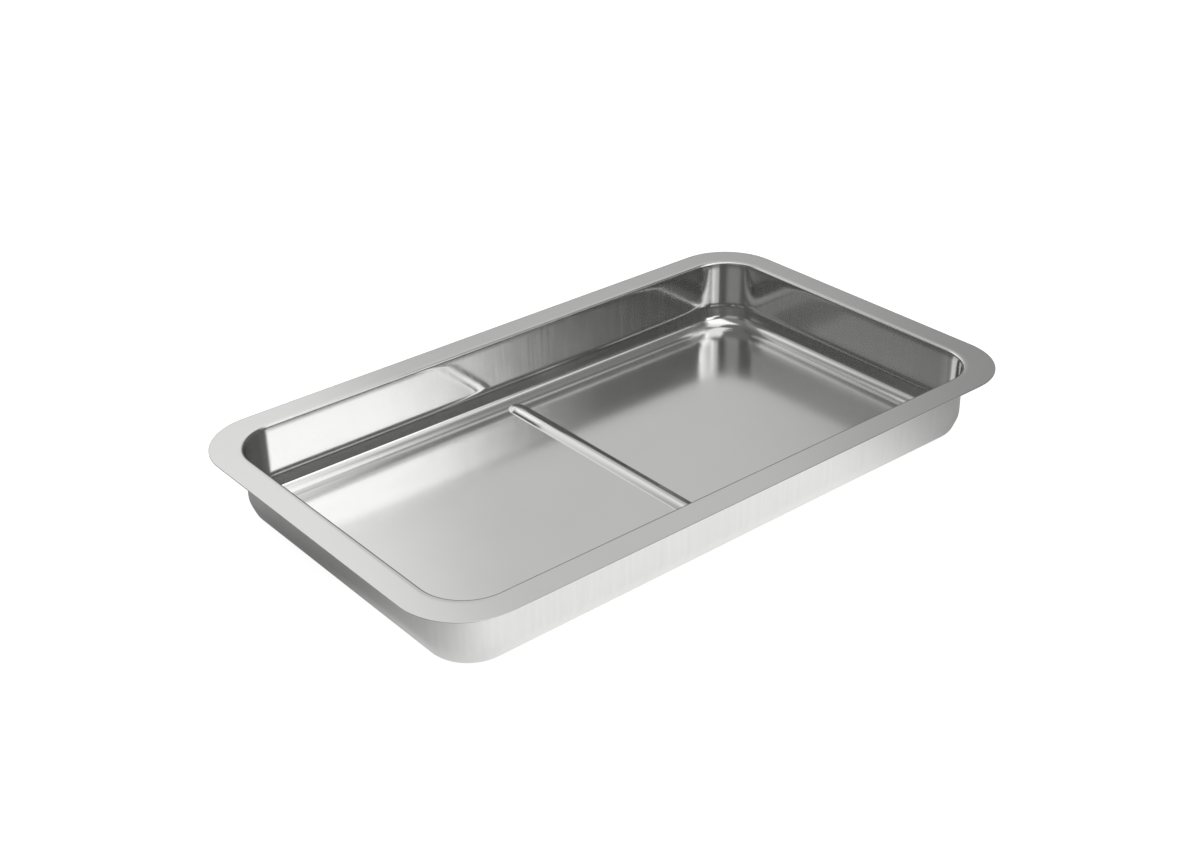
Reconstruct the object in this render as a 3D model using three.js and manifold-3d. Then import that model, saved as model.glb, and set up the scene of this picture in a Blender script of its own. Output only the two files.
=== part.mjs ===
// Paint roller tray: one sheet of stainless steel, deep drawn to a shallow rectangular basin.
// A flat flange runs all round the rim, the walls are upright, the floor meets them in a wide
// fillet, and one pressed rib crosses the middle of the floor.
// Millimetres, +Z up, +X along the tray. The origin is under the middle of the floor.

import * as THREE from 'three';
import { mergeVertices } from 'three/addons/utils/BufferGeometryUtils.js';
import Module from 'manifold-3d';

// Driving dimensions
const LENGTH = 330;                  // over the flange, along X
const WIDTH = 198;                   // over the flange, along Y
const DEPTH = 35;                    // underside of the floor to the top of the flange
const SHEET = 0.6;                   // sheet thickness
const FLANGE_CORNER_RADIUS = 30;     // outer corners of the flange
const WALL_INSET = 12.7;             // edge of the flange to the outer face of the wall
const WALL_CORNER_RADIUS = 22;       // upright corners, outer face
const FLOOR_FILLET = 11;             // wall to floor, outer face
const RIM_BEND = 1.2;                // flange to wall, inside the tray
const RIB_WIDTH = 9;                 // along X, where the rib leaves the floor
const RIB_HEIGHT = 1.4;              // above the floor
const RIB_LENGTH = 158;              // along Y, tip to tip

// Fineness of the round stretches
const CORNER_SEGMENTS = 10;
const FILLET_SEGMENTS = 7;
const RIB_SEGMENTS = 40;
const RIB_CAP_SEGMENTS = 12;

// How far a cutter runs past the face it opens
const OVERRUN = 5;

const wasm = await Module();
wasm.setup();

function toSolid(geometry) {
  geometry.deleteAttribute('normal');
  geometry.deleteAttribute('uv');
  const merged = mergeVertices(geometry);
  return new wasm.Manifold(new wasm.Mesh({
    numProp: 3,
    vertProperties: merged.attributes.position.array,
    triVerts: Uint32Array.from(merged.index.array),
  }));
}

function toGeometry(solid) {
  const mesh = solid.getMesh();
  const geometry = new THREE.BufferGeometry();
  geometry.setAttribute('position', new THREE.BufferAttribute(mesh.vertProperties, 3));
  geometry.setIndex(new THREE.BufferAttribute(mesh.triVerts, 1));
  const faceted = geometry.toNonIndexed();
  faceted.computeVertexNormals();
  return faceted;
}

// Rounded rectangle of the tray's plan, drawn in from the flange's edge by inset.
function planOutline(inset, radius) {
  const x = LENGTH / 2 - inset - radius;
  const y = WIDTH / 2 - inset - radius;
  const quarter = Math.PI / 2;
  const outline = new THREE.Shape();
  outline.absarc(x, y, radius, 0, quarter);
  outline.absarc(-x, y, radius, quarter, 2 * quarter);
  outline.absarc(-x, -y, radius, 2 * quarter, 3 * quarter);
  outline.absarc(x, -y, radius, 3 * quarter, 4 * quarter);
  outline.closePath();
  return outline;
}

// Straight-sided block between two heights.
function plainBlock(outline, bottom, top) {
  const geometry = new THREE.ExtrudeGeometry(outline, {
    depth: top - bottom,
    curveSegments: CORNER_SEGMENTS,
    bevelEnabled: false,
  });
  return toSolid(geometry.translate(0, 0, bottom));
}

// Block whose bottom and top edges are drawn in by edge, over segments steps of a quarter circle.
function softBlock(outline, bottom, top, edge, segments) {
  const geometry = new THREE.ExtrudeGeometry(outline, {
    depth: top - bottom - 2 * edge,
    curveSegments: CORNER_SEGMENTS,
    bevelThickness: edge,
    bevelSize: edge,
    bevelOffset: -edge,
    bevelSegments: segments,
  });
  return toSolid(geometry.translate(0, 0, bottom + edge));
}

// Outer form of the basin with the flange on it, cut level at the top of the flange.
function outerForm() {
  const basin = softBlock(
    planOutline(WALL_INSET, WALL_CORNER_RADIUS),
    0, DEPTH + FLOOR_FILLET + OVERRUN, FLOOR_FILLET, FILLET_SEGMENTS,
  );
  const flange = plainBlock(planOutline(0, FLANGE_CORNER_RADIUS), DEPTH - SHEET, DEPTH);
  const aboveRim = plainBlock(
    planOutline(-OVERRUN, FLANGE_CORNER_RADIUS), DEPTH, DEPTH + 2 * (FLOOR_FILLET + OVERRUN),
  );
  return basin.add(bendUnderside()).add(flange).subtract(aboveRim);
}

// Outer side of the bend between the wall and the flange.
function bendUnderside() {
  const reach = RIM_BEND - SHEET;
  return softBlock(
    planOutline(WALL_INSET - reach, WALL_CORNER_RADIUS + reach),
    DEPTH - SHEET - reach, DEPTH + OVERRUN, reach, 1,
  );
}

// Space inside the basin, one sheet thickness in from the outer form.
function innerForm() {
  const inset = WALL_INSET + SHEET;
  const radius = WALL_CORNER_RADIUS - SHEET;
  const fillet = FLOOR_FILLET - SHEET;
  const basin = softBlock(
    planOutline(inset, radius), SHEET, DEPTH + FLOOR_FILLET + OVERRUN, fillet, FILLET_SEGMENTS,
  );
  const bend = softBlock(
    planOutline(inset - RIM_BEND, radius + RIM_BEND),
    DEPTH - RIM_BEND, DEPTH + OVERRUN, RIM_BEND, 1,
  );
  return basin.add(bend);
}

// Round bar with domed ends along Y, whose crown stands out of the floor as the rib.
function ribBar(radius, centreHeight) {
  const tipRadius = RIB_WIDTH / 2;
  const straight = RIB_LENGTH - 2 * tipRadius;
  const geometry = new THREE.CapsuleGeometry(radius, straight, RIB_CAP_SEGMENTS, RIB_SEGMENTS);
  return toSolid(geometry.translate(0, 0, centreHeight));
}

// Circle through the two feet of the rib and its crown.
const RIB_RADIUS = ((RIB_WIDTH / 2) ** 2 + RIB_HEIGHT ** 2) / (2 * RIB_HEIGHT);
const RIB_CENTRE = SHEET + RIB_HEIGHT - RIB_RADIUS;

function pressedTray() {
  const aboveBase = plainBlock(planOutline(WALL_INSET, WALL_CORNER_RADIUS), 0, DEPTH);
  const ribCrown = ribBar(RIB_RADIUS, RIB_CENTRE).intersect(aboveBase);
  const ribGroove = ribBar(RIB_RADIUS - SHEET, RIB_CENTRE);
  return outerForm().subtract(innerForm()).add(ribCrown).subtract(ribGroove);
}

const stainlessSteel = new THREE.MeshStandardMaterial({
  color: 0xbcbcba,
  roughness: 0.28,
  metalness: 1,
});

const tray = new THREE.Mesh(toGeometry(pressedTray()), stainlessSteel);
tray.name = 'pressed_tray';

const group = new THREE.Group();
group.name = 'paint_roller_tray';
group.add(tray);

export default group;
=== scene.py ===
"""A pressed stainless-steel paint roller tray on a pale studio floor. Metres, +Z up."""

import math

import bmesh
import bpy
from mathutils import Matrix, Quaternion, Vector


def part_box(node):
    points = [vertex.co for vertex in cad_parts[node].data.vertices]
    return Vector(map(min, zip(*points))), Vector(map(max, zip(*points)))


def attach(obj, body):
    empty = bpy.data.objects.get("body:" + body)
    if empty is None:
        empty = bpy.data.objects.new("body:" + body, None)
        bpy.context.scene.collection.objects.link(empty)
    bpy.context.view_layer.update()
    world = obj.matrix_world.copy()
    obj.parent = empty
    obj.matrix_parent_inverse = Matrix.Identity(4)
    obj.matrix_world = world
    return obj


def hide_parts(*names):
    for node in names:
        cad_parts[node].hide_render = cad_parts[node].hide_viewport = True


MM = 0.001
NODE = "pressed_tray"

# The sheet
SHEET = 0.6 * MM
WALL_INSET = 13.3 * MM          # flange edge to the wall's inner face
WALL_CORNER = 21.4 * MM         # upright corners, inner face
RIM_BEND = 1.2 * MM             # flange to wall
FLANGE_CORNER = 30 * MM
EDGE_SOFTENING = 0.12 * MM      # the sheared edge of the sheet, rounded by polishing
SHARP = math.radians(60)        # an edge that turns further than this is softened

# Wall to floor: a round foot, a thin bend, then a steep band up to the wall
FOOT_RADIUS = 10.4 * MM
FOOT_TILT = math.radians(43)    # slope where the foot runs into the bend
BAND_TILT = math.radians(69)
THIN_BEND = 1.2 * MM            # either side of its middle
WALL_BEND = 1.8 * MM            # the same, where the band meets the wall

# The rib pressed up across the floor
RIB_WIDTH = 9.0 * MM
RIB_HEIGHT = 1.4 * MM
RIB_LENGTH = 158 * MM
RIB_BLEND = 0.25 * MM           # how high the blend at its feet reaches

# Sizes of the steel's patterns along X, Y and Z, in millimetres
CLOUDS = (38, 38, 38)
MOTTLE = (1.6, 1.6, 1.6)
ROLLING_GRAIN = (14, 0.4, 0.4)  # along the tray, on floor and flange
DRAWING_MARKS = (1.8, 1.8, 30)  # up the walls
SCUFFS = (0.55, 0.55, 2.6)
SCUFF_PATCHES = (34, 34, 34)

# Where the steel's patterns appear
WALL_NORMAL = 0.35              # how far up the normal points where the sheet is wholly wall
LEVEL_NORMAL = 0.75             # the same, where it is wholly floor or flange
SCUFFS_FULL = 6 * MM            # below the tray's top, down to where scuffs are full
SCUFFS_END = 15 * MM            # the same, down to where they end
DASH_THRESHOLD = (0.66, 0.74)   # noise that starts a scuff, and noise that makes it full
PATCH_THRESHOLD = (0.52, 0.6)   # the same for a patch of scuffs

# The steel's tone, and what each pattern adds to it
STEEL_TONE = 0.70
CLOUD_TONE = 0.05
MOTTLE_TONE = 0.03
STREAK_TONE = 0.07
SCUFF_TONE = 0.58               # the tone of a scuff itself
BLUE_SHARE = 0.99               # blue against red and green
NOISE_MIDDLE = 0.5              # streaks darken below it and brighten above it

# The steel's roughness, and what each pattern adds to it
FLOOR_ROUGHNESS = 0.1
WALL_ROUGHNESS = 0.065
CLOUD_ROUGHNESS = 0.05
GRAIN_ROUGHNESS = 0.07
SCUFF_ROUGHNESS = 0.04

# The steel's relief
GRAIN_DEPTH = 0.002 * MM
FLOOR_RELIEF = 0.6              # shares of that depth
WALL_RELIEF = 2.0
MOTTLE_RELIEF = 0.4
WAVE_DEPTH = 0.05 * MM

# The camera stands off the near left corner and looks down across the tray.
CAMERA_PLACE = Vector((-438.1, -519.5, 399.8)) * MM
CAMERA_TARGET = Vector((16.8, 32.4, 0.0)) * MM
CAMERA_ROLL = math.radians(-1.0)
CAMERA_SENSOR = 36              # millimetres, as is the lens
CAMERA_LENS = 51.07

# The studio's panels
FACING = 0.02                   # how far a direction has to point at a panel to meet its plane
FULL_LIGHT = 0.5                # degrees either side of a panel's middle that never fade

# The table, and the pool of light painted on it as a glow of its own surface, which the steel reflects
TABLE_HALF = 5.0                # metres, either side of the tray
TABLE_GAP = 0.05 * MM           # below the tray
TABLE_COLOUR = (0.5, 0.5, 0.5, 1)
TABLE_ROUGHNESS = 0.9
TABLE_SEEN = 0.9                # its glow to the camera
WHITE = (1, 1, 1, 1)
POOL_MIDDLE = (-28 * MM, -140 * MM, 0)
POOL_RADIUS = 98 * MM
POOL_FADE = 110 * MM
# painted pool of light: how strongly the table itself glows inside the pool
PAINTED_POOL_GLOW = 0.76
TABLE_LIGHT = 0.1               # beyond the pool

# Fineness of the mesh
RIB_ZONE = 0.6 * RIB_WIDTH      # close rows of faces as far as this from the tray's middle
RIB_ZONE_STEPS = 44
BAY_STEPS = 34
CROSSWISE_STEPS = 40
CORNER_STEPS = 20
FLOOR_STEPS = 14
FOOT_STEPS = 14
BEND_STEPS = 6
THIN_BEND_STEPS = 10
BAND_STEPS = 6
WALL_STEPS = 8
FLANGE_SHARES = (0.15, 0.35, 0.6, 0.85)
EDGE_ROW = 0.35 * MM            # width of the last row of faces on the flange

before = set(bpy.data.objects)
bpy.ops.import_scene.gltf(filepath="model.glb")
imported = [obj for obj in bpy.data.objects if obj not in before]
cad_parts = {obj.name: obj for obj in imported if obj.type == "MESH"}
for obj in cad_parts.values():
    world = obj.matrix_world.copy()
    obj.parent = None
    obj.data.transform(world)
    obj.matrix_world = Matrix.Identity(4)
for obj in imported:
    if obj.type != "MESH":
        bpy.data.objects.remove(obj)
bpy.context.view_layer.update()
low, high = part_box(NODE)
TOP = high.z
FLOOR = low.z + SHEET            # its upper face
HALF_LENGTH = (high.x - low.x) / 2
HALF_WIDTH = (high.y - low.y) / 2

# The straight middle of the plan. Everything outside it lies at a reach from its edge.
SIDE_REACH = WALL_INSET + WALL_CORNER   # as far as the flange's straight edges
CORE_X = HALF_LENGTH - SIDE_REACH
CORE_Y = HALF_WIDTH - SIDE_REACH


def spaced(start, end, steps):
    return [start + (end - start) * i / steps for i in range(steps + 1)]


def lengthwise_stations():
    """Places along X across the core, close together over the rib."""
    middle = spaced(-RIB_ZONE, RIB_ZONE, RIB_ZONE_STEPS)
    right = spaced(RIB_ZONE, CORE_X, BAY_STEPS)[1:]
    return [-x for x in reversed(right)] + middle + right


def crosswise_stations():
    return spaced(-CORE_Y, CORE_Y, CROSSWISE_STEPS)


def flange_reach(angle):
    """From a corner of the core to the edge of the flange, at an angle from the X axis. It is worked
    out for the corner at +X and +Y. The other corners are the same, turned."""
    shift = SIDE_REACH - FLANGE_CORNER
    along_x, along_y = math.cos(angle), math.sin(angle)
    if along_y * SIDE_REACH < shift * along_x:
        return SIDE_REACH / along_x
    if along_x * SIDE_REACH < shift * along_y:
        return SIDE_REACH / along_y
    toward = shift * (along_x + along_y)
    return toward + math.sqrt(toward ** 2 - 2 * shift ** 2 + FLANGE_CORNER ** 2)


def perimeter():
    """Stations round the core, anticlockwise: start point, outward direction, reach of the flange."""
    xs, ys = lengthwise_stations(), crosswise_stations()
    sides = [
        [(CORE_X, y) for y in ys],
        [(x, CORE_Y) for x in reversed(xs)],
        [(-CORE_X, y) for y in reversed(ys)],
        [(x, -CORE_Y) for x in xs],
    ]
    stations = []
    for quarter, side in enumerate(sides):
        base = quarter * math.pi / 2
        outward = (round(math.cos(base)), round(math.sin(base)))
        stations += [(point, outward, SIDE_REACH) for point in side]
        for angle in spaced(0, math.pi / 2, CORNER_STEPS)[1:-1]:
            direction = (math.cos(base + angle), math.sin(base + angle))
            stations.append((side[-1], direction, flange_reach(angle)))
    return stations


def onward(point, tilt, length):
    """The place so far from a point, outward and up a slope."""
    return (point[0] + length * math.cos(tilt), point[1] + length * math.sin(tilt))


def smooth_turn(start, corner, end, steps):
    """Points of a smooth turn past a corner, after its start."""
    return [
        tuple((1 - t) ** 2 * a + 2 * t * (1 - t) * b + t ** 2 * c for a, b, c in zip(start, corner, end))
        for t in spaced(0, 1, steps)[1:]
    ]


def floor_to_wall():
    """Reach and height of the sheet's upper face from the end of the flat floor to the upright wall."""
    floor_end = WALL_CORNER - FOOT_RADIUS
    points = [
        (floor_end + FOOT_RADIUS * math.sin(angle), FLOOR + FOOT_RADIUS * (1 - math.cos(angle)))
        for angle in spaced(0, FOOT_TILT, FOOT_STEPS)[1:]
    ]
    foot_end = points[-1]
    bend = onward(foot_end, FOOT_TILT, THIN_BEND)
    band_start = onward(bend, BAND_TILT, THIN_BEND)
    wall_foot = (WALL_CORNER, bend[1] + (WALL_CORNER - bend[0]) * math.tan(BAND_TILT))
    band_end = onward(wall_foot, BAND_TILT, -WALL_BEND)
    wall_start = (WALL_CORNER, wall_foot[1] + WALL_BEND)
    points += smooth_turn(foot_end, bend, band_start, THIN_BEND_STEPS)
    points += list(zip(
        spaced(band_start[0], band_end[0], BAND_STEPS)[1:],
        spaced(band_start[1], band_end[1], BAND_STEPS)[1:],
    ))
    points += smooth_turn(band_end, wall_foot, wall_start, BEND_STEPS)
    return points


def profile():
    """Reach and height of the sheet's upper face, from the core out to the top of the rim's bend."""
    points = [(reach, FLOOR) for reach in spaced(0, WALL_CORNER - FOOT_RADIUS, FLOOR_STEPS)[1:]]
    points += floor_to_wall()
    wall_start = points[-1][1]
    wall_end = TOP - RIM_BEND
    points += [(WALL_CORNER, z) for z in spaced(wall_start, wall_end, WALL_STEPS)[1:]]
    points += [
        (WALL_CORNER + RIM_BEND * (1 - math.cos(angle)), wall_end + RIM_BEND * math.sin(angle))
        for angle in spaced(0, math.pi / 2, BEND_STEPS)[1:]
    ]
    return points


def rib_lift(x, y):
    """Height of the rib over the plain floor: a round crown whose feet blend into the floor."""
    straight = RIB_LENGTH / 2 - RIB_WIDTH / 2
    from_middle = math.hypot(x, max(0.0, abs(y) - straight))
    radius = ((RIB_WIDTH / 2) ** 2 + RIB_HEIGHT ** 2) / (2 * RIB_HEIGHT)
    crown = math.sqrt(max(radius ** 2 - from_middle ** 2, 0.0)) - (radius - RIB_HEIGHT)
    if crown <= -RIB_BLEND:
        return 0.0
    if crown >= RIB_BLEND:
        return crown
    return (crown + RIB_BLEND) ** 2 / (4 * RIB_BLEND)


def vertex(bm, x, y, z):
    return bm.verts.new((x, y, z + rib_lift(x, y)))


def core_rows(bm):
    """The straight middle of the floor, as rows of vertices with faces between them."""
    rows = [[vertex(bm, x, y, FLOOR) for x in lengthwise_stations()] for y in crosswise_stations()]
    for below, above in zip(rows, rows[1:]):
        for corners in zip(below, below[1:], above[1:], above):
            bm.faces.new(corners)
    return rows


def core_rim(rows):
    """The core's outer vertices, one for each station. A corner's vertex serves its whole arc."""
    right = [row[-1] for row in rows]
    left = [row[0] for row in rows]
    rim = []
    for side in (right, rows[-1][::-1], left[::-1], rows[0]):
        rim += side + [side[-1]] * (CORNER_STEPS - 1)
    return rim


def loop(bm, stations, reaches, z):
    """Vertices right round the tray at one height, each at its own reach from the core."""
    return [
        vertex(bm, start[0] + direction[0] * reach, start[1] + direction[1] * reach, z)
        for (start, direction, _), reach in zip(stations, reaches)
    ]


def surround(bm, rows):
    """Loops of vertices from the core's rim out to the edge of the flange."""
    stations = perimeter()
    edges = [edge for _, _, edge in stations]
    loops = [core_rim(rows)]
    for reach, z in profile():
        loops.append(loop(bm, stations, [reach] * len(stations), z))
    bend_end = WALL_CORNER + RIM_BEND
    for share in FLANGE_SHARES:
        reaches = [bend_end + (edge - EDGE_ROW - bend_end) * share for edge in edges]
        loops.append(loop(bm, stations, reaches, TOP))
    for setback in (EDGE_ROW, 0.0):
        loops.append(loop(bm, stations, [edge - setback for edge in edges], TOP))
    return loops


def join_loops(bm, loops):
    """Faces between each loop and the next. They are triangles where the inner vertices coincide."""
    for inner, outer in zip(loops, loops[1:]):
        for i in range(len(inner)):
            j = (i + 1) % len(inner)
            corners = list(dict.fromkeys((inner[i], outer[i], outer[j], inner[j])))
            if len(corners) > 2:
                bm.faces.new(corners)


def build_sheet():
    """The upper face of the tray as one welded surface, given its thickness by a modifier."""
    bm = bmesh.new()
    join_loops(bm, surround(bm, core_rows(bm)))
    bmesh.ops.recalc_face_normals(bm, faces=bm.faces)
    if bm.faces[0].normal.z < 0:
        bmesh.ops.reverse_faces(bm, faces=bm.faces)

    mesh = bpy.data.meshes.new("tray_sheet")
    bm.to_mesh(mesh)
    bm.free()
    mesh.shade_smooth()
    sheet = bpy.data.objects.new("tray_sheet", mesh)
    bpy.context.scene.collection.objects.link(sheet)

    solid = sheet.modifiers.new("thickness", "SOLIDIFY")
    solid.thickness = SHEET
    solid.offset = -1
    solid.use_even_offset = True
    soft = sheet.modifiers.new("edge", "BEVEL")
    soft.limit_method = "ANGLE"
    soft.angle_limit = SHARP
    soft.width = EDGE_SOFTENING
    soft.segments = 2
    return sheet


class Shading:
    """Short names for building a shader out of nodes."""

    def __init__(self, tree):
        self.nodes, self.links = tree.nodes, tree.links

    def node(self, kind):
        return self.nodes.new("ShaderNode" + kind)

    def feed(self, socket, value):
        if isinstance(value, bpy.types.NodeSocket):
            self.links.new(value, socket)
        else:
            socket.default_value = value

    def math(self, operation, first, second=0.0):
        node = self.node("Math")
        node.operation = operation
        self.feed(node.inputs[0], first)
        self.feed(node.inputs[1], second)
        return node.outputs[0]

    def product(self, first, *others):
        for other in others:
            first = self.math("MULTIPLY", first, other)
        return first

    def vector_math(self, operation, first, second):
        node = self.node("VectorMath")
        node.operation = operation
        self.feed(node.inputs[0], first)
        self.feed(node.inputs[1], second)
        return node

    def ramp(self, value, start, end, before, after):
        """Runs smoothly from one amount to another while the value goes from start to end."""
        node = self.node("MapRange")
        node.interpolation_type = "SMOOTHSTEP"
        self.feed(node.inputs["Value"], value)
        limits = {"From Min": start, "From Max": end, "To Min": before, "To Max": after}
        for name, amount in limits.items():
            self.feed(node.inputs[name], amount)
        return node.outputs["Result"]

    def camera_sees(self):
        return self.node("LightPath").outputs["Is Camera Ray"]


class Finish(Shading):
    """A material, with its patterns laid out in the object's own space."""

    def __init__(self, name):
        self.material = bpy.data.materials.new(name)
        self.material.use_nodes = True
        super().__init__(self.material.node_tree)
        self.shader = self.nodes["Principled BSDF"]
        self.place = self.node("TexCoord").outputs["Object"]

    def height_of(self, vector):
        node = self.node("SeparateXYZ")
        self.feed(node.inputs[0], vector)
        return node.outputs["Z"]

    def noise(self, size, detail, roughness=0.5):
        """Noise whose features are so many millimetres long along each axis."""
        scaled = self.vector_math("DIVIDE", self.place, Vector(size) * MM)
        node = self.node("TexNoise")
        self.feed(node.inputs["Vector"], scaled.outputs[0])
        self.feed(node.inputs["Scale"], 1.0)
        self.feed(node.inputs["Detail"], detail)
        self.feed(node.inputs["Roughness"], roughness)
        return node.outputs["Fac"]

    def blend(self, share, first, second):
        """The first value where share is 0, the second where it is 1."""
        gap = self.math("SUBTRACT", second, first)
        return self.math("ADD", first, self.product(share, gap))

    def sum(self, base, *weighted):
        """The base value with each pattern added at its own weight."""
        total = base
        for pattern, weight in weighted:
            total = self.math("ADD", total, self.product(pattern, weight))
        return total

    def bump(self, height, distance):
        node = self.node("Bump")
        self.feed(node.inputs["Height"], height)
        self.feed(node.inputs["Distance"], distance)
        return node


def stainless():
    """Cold-rolled sheet, deep drawn: rolling grain along the tray, drawing marks up the walls."""
    steel = Finish("drawn_stainless")
    upward = steel.height_of(steel.node("NewGeometry").outputs["Normal"])
    on_wall = steel.ramp(steel.math("ABSOLUTE", upward), WALL_NORMAL, LEVEL_NORMAL, 1.0, 0.0)

    cloud = steel.noise(CLOUDS, detail=2)
    mottle = steel.noise(MOTTLE, detail=4, roughness=0.65)
    rolling = steel.noise(ROLLING_GRAIN, detail=3, roughness=0.6)
    drawing = steel.noise(DRAWING_MARKS, detail=2)
    grain = steel.blend(on_wall, rolling, drawing)

    # scuffs where the sheet slid over the die: short upright dashes in patches under the rim
    height = steel.height_of(steel.place)
    under_rim = steel.ramp(height, TOP - SCUFFS_END, TOP - SCUFFS_FULL, 0.0, 1.0)
    dashes = steel.ramp(steel.noise(SCUFFS, detail=2), *DASH_THRESHOLD, 0.0, 1.0)
    patches = steel.ramp(steel.noise(SCUFF_PATCHES, detail=1), *PATCH_THRESHOLD, 0.0, 1.0)
    scuffed = steel.product(on_wall, under_rim, patches, dashes)

    streaks = steel.product(on_wall, steel.math("SUBTRACT", drawing, NOISE_MIDDLE))
    plain_tone = steel.sum(STEEL_TONE, (cloud, CLOUD_TONE), (mottle, MOTTLE_TONE), (streaks, STREAK_TONE))
    tone = steel.blend(scuffed, plain_tone, SCUFF_TONE)
    colour = steel.node("CombineColor")
    steel.feed(colour.inputs["Red"], tone)
    steel.feed(colour.inputs["Green"], tone)
    steel.feed(colour.inputs["Blue"], steel.product(tone, BLUE_SHARE))
    steel.feed(steel.shader.inputs["Base Color"], colour.outputs[0])
    steel.feed(steel.shader.inputs["Metallic"], 1.0)

    roughness = steel.sum(
        steel.blend(on_wall, FLOOR_ROUGHNESS, WALL_ROUGHNESS),
        (cloud, CLOUD_ROUGHNESS), (grain, GRAIN_ROUGHNESS), (scuffed, SCUFF_ROUGHNESS),
    )
    steel.feed(steel.shader.inputs["Roughness"], roughness)

    groove = steel.product(grain, steel.blend(on_wall, FLOOR_RELIEF, WALL_RELIEF))
    fine = steel.bump(steel.sum(groove, (mottle, MOTTLE_RELIEF)), GRAIN_DEPTH)
    wavy = steel.bump(cloud, WAVE_DEPTH)
    steel.feed(fine.inputs["Normal"], wavy.outputs[0])
    steel.feed(steel.shader.inputs["Normal"], fine.outputs[0])
    return steel.material


def make_camera():
    camera = bpy.data.cameras.new("camera")
    camera.sensor_width = CAMERA_SENSOR
    camera.lens = CAMERA_LENS
    holder = bpy.data.objects.new("camera", camera)
    aim = (CAMERA_TARGET - CAMERA_PLACE).to_track_quat("-Z", "Y")
    holder.rotation_mode = "QUATERNION"
    holder.rotation_quaternion = aim @ Quaternion((0, 0, 1), CAMERA_ROLL)
    holder.location = CAMERA_PLACE
    bpy.context.scene.collection.objects.link(holder)
    bpy.context.scene.camera = holder


class Studio(Shading):
    """Soft light from far away: flat diffusing panels in a dim room, as the world's own shader."""

    def __init__(self, room):
        world = bpy.data.worlds.new("studio")
        world.use_nodes = True
        bpy.context.scene.world = world
        super().__init__(world.node_tree)
        self.direction = self.node("TexCoord").outputs["Generated"]
        self.light = room

    def along(self, vector):
        return self.vector_math("DOT_PRODUCT", self.direction, vector).outputs["Value"]

    def panel(self, azimuth, elevation, width, height, left, right, edge, roll=0.0):
        """A flat panel facing the tray, by its angles in degrees. Its light runs from left to right,
        as the tray sees it, and fades out over edge. It is rolled about its own middle."""
        turn, rise = math.radians(azimuth), math.radians(elevation)
        middle = Vector((math.cos(turn) * math.cos(rise), math.sin(turn) * math.cos(rise), math.sin(rise)))
        sideways = Vector((math.sin(turn), -math.cos(turn), 0.0))
        sideways.rotate(Quaternion(middle, -math.radians(roll)))
        upward = sideways.cross(middle)
        depth = self.along(middle)
        across = self.math("DIVIDE", self.along(sideways), depth)
        rising = self.math("DIVIDE", self.along(upward), depth)
        glow = self.math("GREATER_THAN", depth, FACING)
        for place, spread in ((across, width), (rising, height)):
            inner = math.tan(math.radians(max(spread / 2 - edge, FULL_LIGHT)))
            outer = math.tan(math.radians(spread / 2 + edge))
            fade = self.ramp(self.math("ABSOLUTE", place), inner, outer, 1.0, 0.0)
            glow = self.math("MULTIPLY", glow, fade)
        half = math.tan(math.radians(width / 2))
        glow = self.math("MULTIPLY", glow, self.ramp(across, -half, half, left, right))
        self.light = self.math("ADD", self.light, glow)

    def finish(self, backdrop):
        """Joins the light to the world. The camera itself sees an even pale backdrop."""
        lit = self.nodes["Background"]
        self.feed(lit.inputs["Color"], self.light)
        plain = self.node("Background")
        self.feed(plain.inputs["Color"], (backdrop, backdrop, backdrop, 1))
        choice = self.node("MixShader")
        self.feed(choice.inputs["Fac"], self.camera_sees())
        self.feed(choice.inputs[1], lit.outputs[0])
        self.feed(choice.inputs[2], plain.outputs[0])
        self.feed(self.nodes["World Output"].inputs["Surface"], choice.outputs[0])


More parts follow.
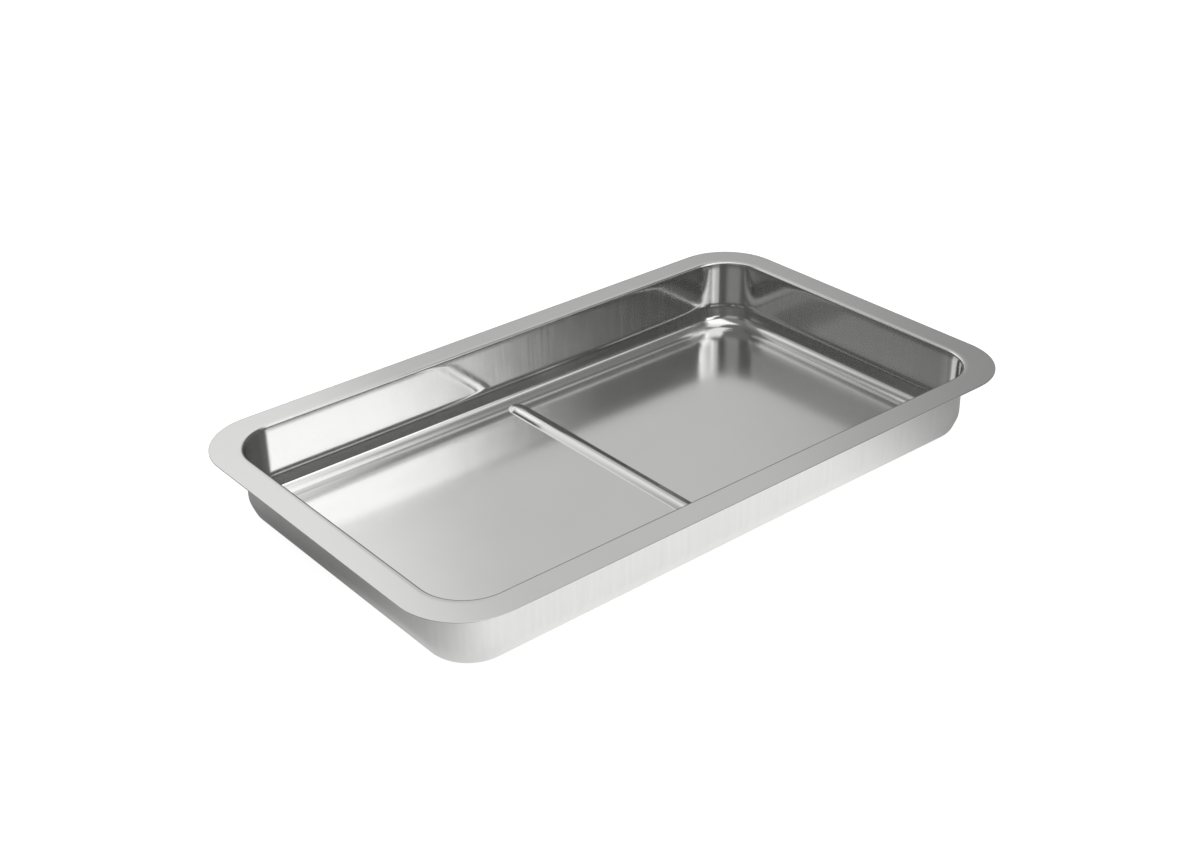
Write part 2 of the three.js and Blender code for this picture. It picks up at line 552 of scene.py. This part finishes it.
def light_studio():
    studio = Studio(room=0.13)
    # pale backdrop behind the tray, three widths of cloth over one another
    studio.panel(70, 37, 84, 27, left=0.2, right=0.2, edge=3)
    studio.panel(79, 37, 66, 25, left=0.32, right=0.32, edge=5)
    studio.panel(88, 37, 50, 30, left=0.34, right=0.34, edge=2)
    studio.panel(128, 38, 30, 20, left=0.3, right=0.5, edge=3, roll=15)
    # overhead soft box, and the faint glow of the ceiling round it
    studio.panel(-2, 81, 66, 36.5, left=1.15, right=1.15, edge=2, roll=5)
    studio.panel(0, 90, 80, 80, left=0.09, right=0.09, edge=8)
    # large soft box off the tray's front, with smaller ones above it
    studio.panel(-78, 31, 40, 12, left=1.95, right=0.8, edge=2.5)
    studio.panel(-62, 42, 38, 8, left=0.9, right=1.2, edge=2)
    studio.panel(-77, 42, 20, 13, left=0.8, right=0.8, edge=3)
    studio.panel(-47, 52, 13, 16, left=0.65, right=0.65, edge=4)
    # weak light either side of the camera
    studio.panel(-103, 26, 18, 14, left=0.75, right=0.75, edge=3)
    studio.panel(-155, 36, 34, 30, left=0.25, right=0.25, edge=7)
    studio.finish(backdrop=1.0)


def make_floor():
    """A pale table with a pool of light painted on at the tray's front: its surface glows brighter there,
    and the steel reflects it. To the camera it is an even pale sweep, darker only where the tray shades
    it."""
    half = TABLE_HALF
    corners = [(-half, -half, 0), (half, -half, 0), (half, half, 0), (-half, half, 0)]
    mesh = bpy.data.meshes.new("studio_floor")
    mesh.from_pydata(corners, [], [(0, 1, 2, 3)])
    floor = bpy.data.objects.new("studio_floor", mesh)
    floor.location.z = low.z - TABLE_GAP
    bpy.context.scene.collection.objects.link(floor)

    table = Finish("pale_table")
    table.feed(table.shader.inputs["Base Color"], TABLE_COLOUR)
    table.feed(table.shader.inputs["Roughness"], TABLE_ROUGHNESS)
    table.feed(table.shader.inputs["Emission Color"], WHITE)
    # painted pool of light: the table's own glow rises towards POOL_MIDDLE, for everything but the camera
    distance = table.vector_math("DISTANCE", table.place, POOL_MIDDLE).outputs["Value"]
    painted_pool = table.ramp(distance, POOL_RADIUS, POOL_RADIUS + POOL_FADE, PAINTED_POOL_GLOW, TABLE_LIGHT)
    glow = table.blend(table.camera_sees(), painted_pool, TABLE_SEEN)
    table.feed(table.shader.inputs["Emission Strength"], glow)
    mesh.materials.append(table.material)


# The piece, then its studio
sheet = build_sheet()
sheet.data.materials.append(stainless())
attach(sheet, "root")
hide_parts(NODE)

make_camera()
light_studio()
make_floor()
bpy.context.scene.view_settings.view_transform = "Standard"
